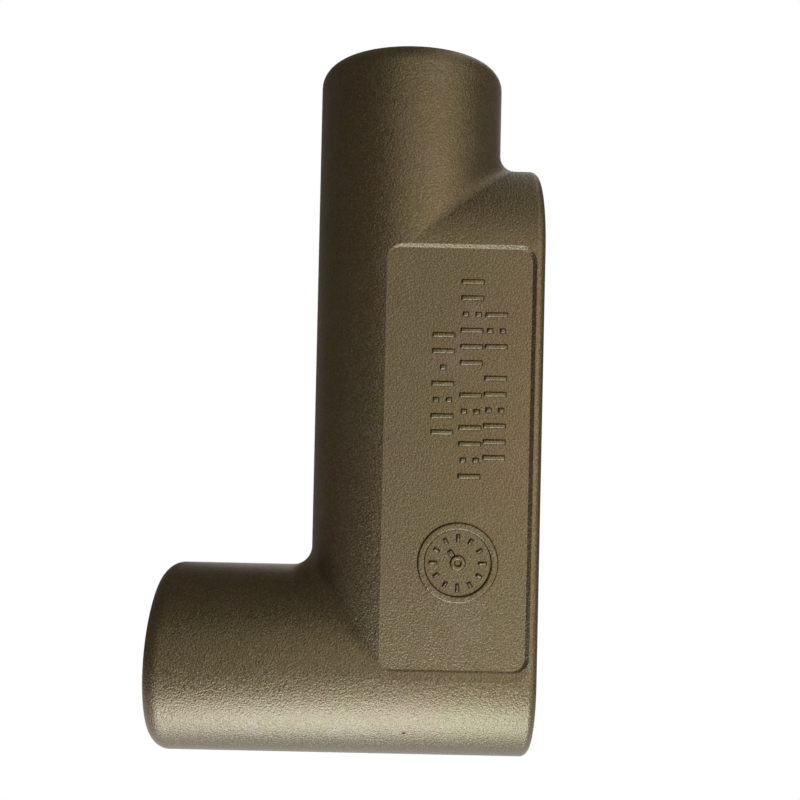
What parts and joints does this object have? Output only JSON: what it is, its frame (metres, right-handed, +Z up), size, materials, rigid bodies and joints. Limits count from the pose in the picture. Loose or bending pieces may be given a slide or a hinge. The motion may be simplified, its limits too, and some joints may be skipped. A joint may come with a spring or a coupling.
{
  "type": "conduit body",
  "caption": "Elbow conduit body, cast in one piece: a threaded hub on the top end, another at the back, and an oblong box with a cover opening and inner screw bosses.",
  "frame": {"origin": "centre of the back hub's mouth", "axes": "+Z up the run hub's axis, -X out of the back hub's mouth, +X out of the cover opening"},
  "size_m": [0.0679, 0.034, 0.127],
  "materials": {
    "cast_stainless": "as cast and blasted, fine grain, dull"
  },
  "bodies": {
    "root": {"body_casting": "cast_stainless"}
  },
  "joints": []
}
